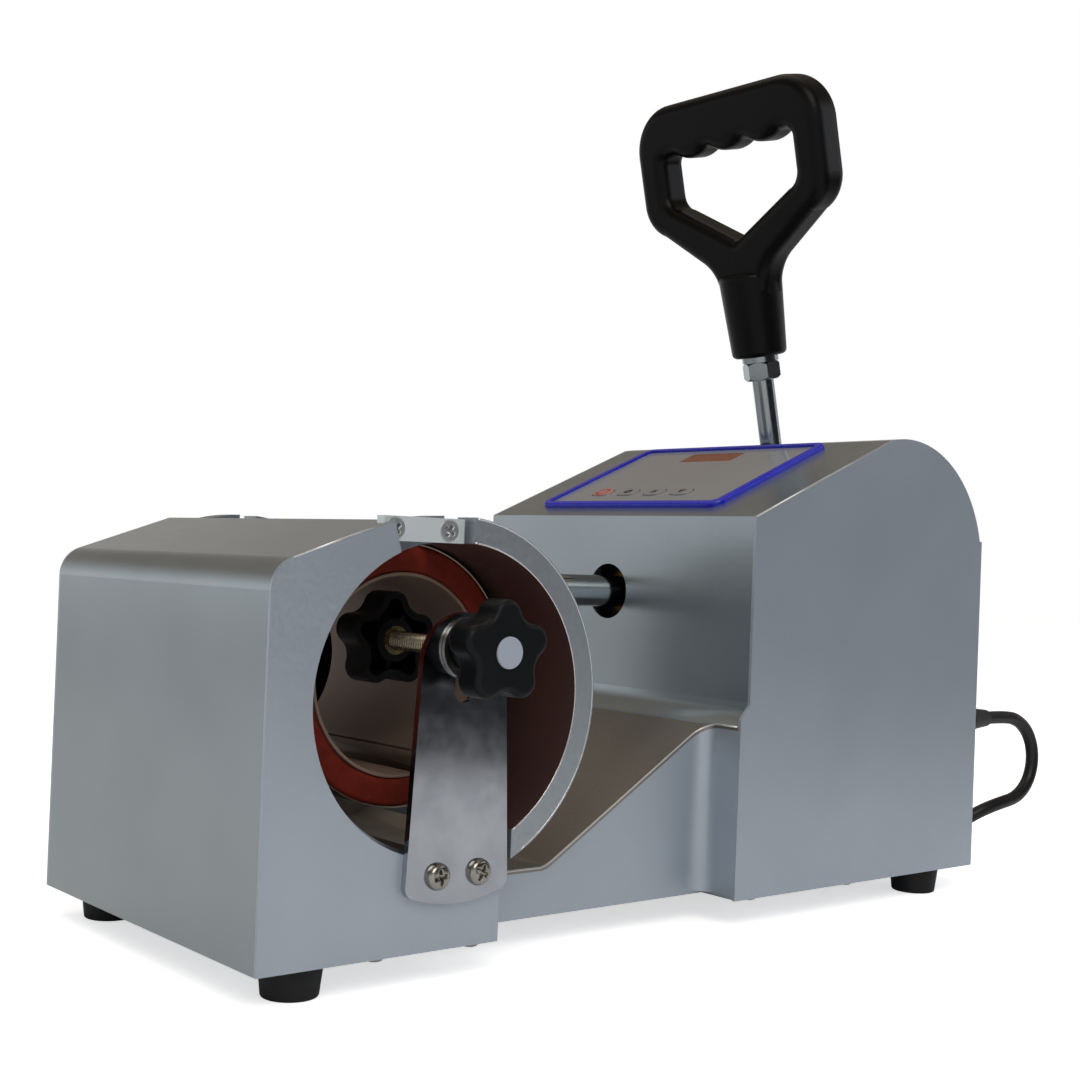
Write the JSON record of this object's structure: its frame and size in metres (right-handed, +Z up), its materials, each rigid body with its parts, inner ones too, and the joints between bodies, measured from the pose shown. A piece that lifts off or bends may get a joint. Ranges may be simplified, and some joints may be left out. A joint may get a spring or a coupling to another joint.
{
  "type": "mug heat press",
  "caption": "Horizontal mug heat press: round heated clamp at one end, control housing with lever at the other, adjustable mug stop in front.",
  "frame": {"origin": "bottom centre of the machine's box, without the mains lead, on the surface that it stands on", "axes": "+X from the clamp housing to the control housing, +Y to the side where the mug goes in, +Z up"},
  "size_m": [0.5445, 0.2528, 0.4263],
  "materials": {
    "housing_sheet": "satin silver-grey powder coat",
    "cast_aluminium": "blasted casting with turned edges",
    "strip_aluminium": "drawn flat bar",
    "bracket_chrome": "polished plating",
    "screw_steel": "nickel plated",
    "shaft_steel": "ground and polished",
    "zinc_steel": "yellow zinc plating",
    "machined_steel": "milled",
    "bronze_bush": "sintered bronze",
    "knob_plastic": "moulded phenolic, fine grain",
    "cap_plastic": "moulded",
    "handle_plastic": "moulded ABS, fine grain",
    "bezel_plastic": "moulded ABS",
    "overlay_film": "printed polyester film",
    "key_red": "embossed polyester film",
    "key_grey": "embossed polyester film",
    "window_film": "tinted polyester film",
    "silicone_red": "foamed silicone",
    "lining_silicone": "glass-cloth silicone mat",
    "band_steel": "rolled strip",
    "board_laminate": "glass-epoxy laminate",
    "module_plastic": "moulded",
    "relay_plastic": "moulded",
    "terminal_plastic": "moulded nylon",
    "foot_rubber": "moulded",
    "cord_pvc": "extruded PVC",
    "blade_brass": "nickel plated"
  },
  "bodies": {
    "root": {"clamp_front_plate": "housing_sheet", "clamp_back_plate": "housing_sheet", "clamp_cover": "housing_sheet", "front_skirt": "housing_sheet", "back_skirt": "housing_sheet", "bridge_deck": "housing_sheet", "base_plate": "housing_sheet", "control_front_plate": "housing_sheet", "control_back_plate": "housing_sheet", "control_cover": "housing_sheet", "back_cover": "housing_sheet", "housing_screws": "screw_steel", "strip_screws": "screw_steel", "bracket_screws": "screw_steel", "rubber_feet": "foot_rubber", "fixed_shell": "cast_aluminium", "heater_spacer_fixed": "cast_aluminium", "top_strip": "strip_aluminium", "guide_block": "machined_steel", "guide_stand": "machined_steel", "pivot_bracket": "machined_steel", "pivot_pin": "machined_steel", "shaft_bushes": "bronze_bush", "heater_lining": "lining_silicone", "heater_sponge": "silicone_red", "heater_band": "band_steel", "stop_bracket": "bracket_chrome", "panel_bezel": "bezel_plastic", "panel_overlay": "overlay_film", "display_window": "window_film", "control_board": "board_laminate", "display_module": "module_plastic", "power_relay": "relay_plastic", "terminal_block": "terminal_plastic", "cord_gland": "cord_pvc", "power_cord": "cord_pvc", "cord_coil": "cord_pvc", "coil_tie": "cord_pvc", "plug": "cord_pvc", "plug_blades": "blade_brass"},
    "jaw": {"jaw_shell": "cast_aluminium", "push_shaft": "shaft_steel", "shaft_fork": "machined_steel", "heater_spacer_jaw": "cast_aluminium"},
    "lever": {"lever_arm": "machined_steel", "crank_pin": "machined_steel", "lever_rod": "shaft_steel", "lever_nut": "screw_steel", "lever_handle": "handle_plastic"},
    "stop_carriage": {"stop_rod": "zinc_steel", "stop_washers": "zinc_steel", "stop_nut": "screw_steel"},
    "front_knob": {"front_knob": "knob_plastic", "knob_cap": "cap_plastic"},
    "stop_nut_body": {"stop_insert": "zinc_steel"},
    "stop_knob": {"stop_knob": "knob_plastic"},
    "key_power": {"key_power": "key_red"},
    "key_set": {"key_set": "key_grey"},
    "key_up": {"key_up": "key_grey"},
    "key_down": {"key_down": "key_grey"}
  },
  "joints": [
    {"name": "lever_pivot", "type": "hinge", "parent": "root", "child": "lever", "pos_m": [0.1857, 0.0189, 0.1189], "axis": [0, 1, 0], "range_deg": [0, 22]},
    {"name": "jaw_slide", "type": "slide", "parent": "root", "child": "jaw", "axis": [1, 0, 0], "range_m": [0, 0.013], "deforming": ["heater_lining", "heater_sponge", "heater_band"]},
    {"name": "stop_height", "type": "slide", "parent": "root", "child": "stop_carriage", "axis": [0, 0, 1], "range_m": [-0.017, 0]},
    {"name": "front_knob_turn", "type": "hinge", "parent": "stop_carriage", "child": "front_knob", "pos_m": [-0.1319, -0.1081, 0.131], "axis": [0, -1, 0], "range_deg": [0, 360]},
    {"name": "stop_depth", "type": "slide", "parent": "stop_carriage", "child": "stop_nut_body", "axis": [0, 1, 0], "range_m": [0, 0.00503]},
    {"name": "stop_knob_turn", "type": "hinge", "parent": "stop_nut_body", "child": "stop_knob", "pos_m": [-0.1319, -0.0371, 0.131], "axis": [0, 1, 0], "range_deg": [0, 1440]},
    {"name": "key_power_press", "type": "slide", "parent": "root", "child": "key_power", "axis": [0.4013, 0, -0.916], "range_m": [0, 0.0004], "stiffness_N_per_m": 1500},
    {"name": "key_set_press", "type": "slide", "parent": "root", "child": "key_set", "axis": [0.4013, 0, -0.916], "range_m": [0, 0.0004], "stiffness_N_per_m": 1500},
    {"name": "key_up_press", "type": "slide", "parent": "root", "child": "key_up", "axis": [0.4013, 0, -0.916], "range_m": [0, 0.0004], "stiffness_N_per_m": 1500},
    {"name": "key_down_press", "type": "slide", "parent": "root", "child": "key_down", "axis": [0.4013, 0, -0.916], "range_m": [0, 0.0004], "stiffness_N_per_m": 1500}
  ],
  "couplings": [
    {"joint": "jaw_slide", "follows": "lever_pivot", "m_per_rad": 0.033759},
    {"joint": "stop_depth", "follows": "stop_knob_turn", "m_per_rad": 0.00019894}
  ]
}
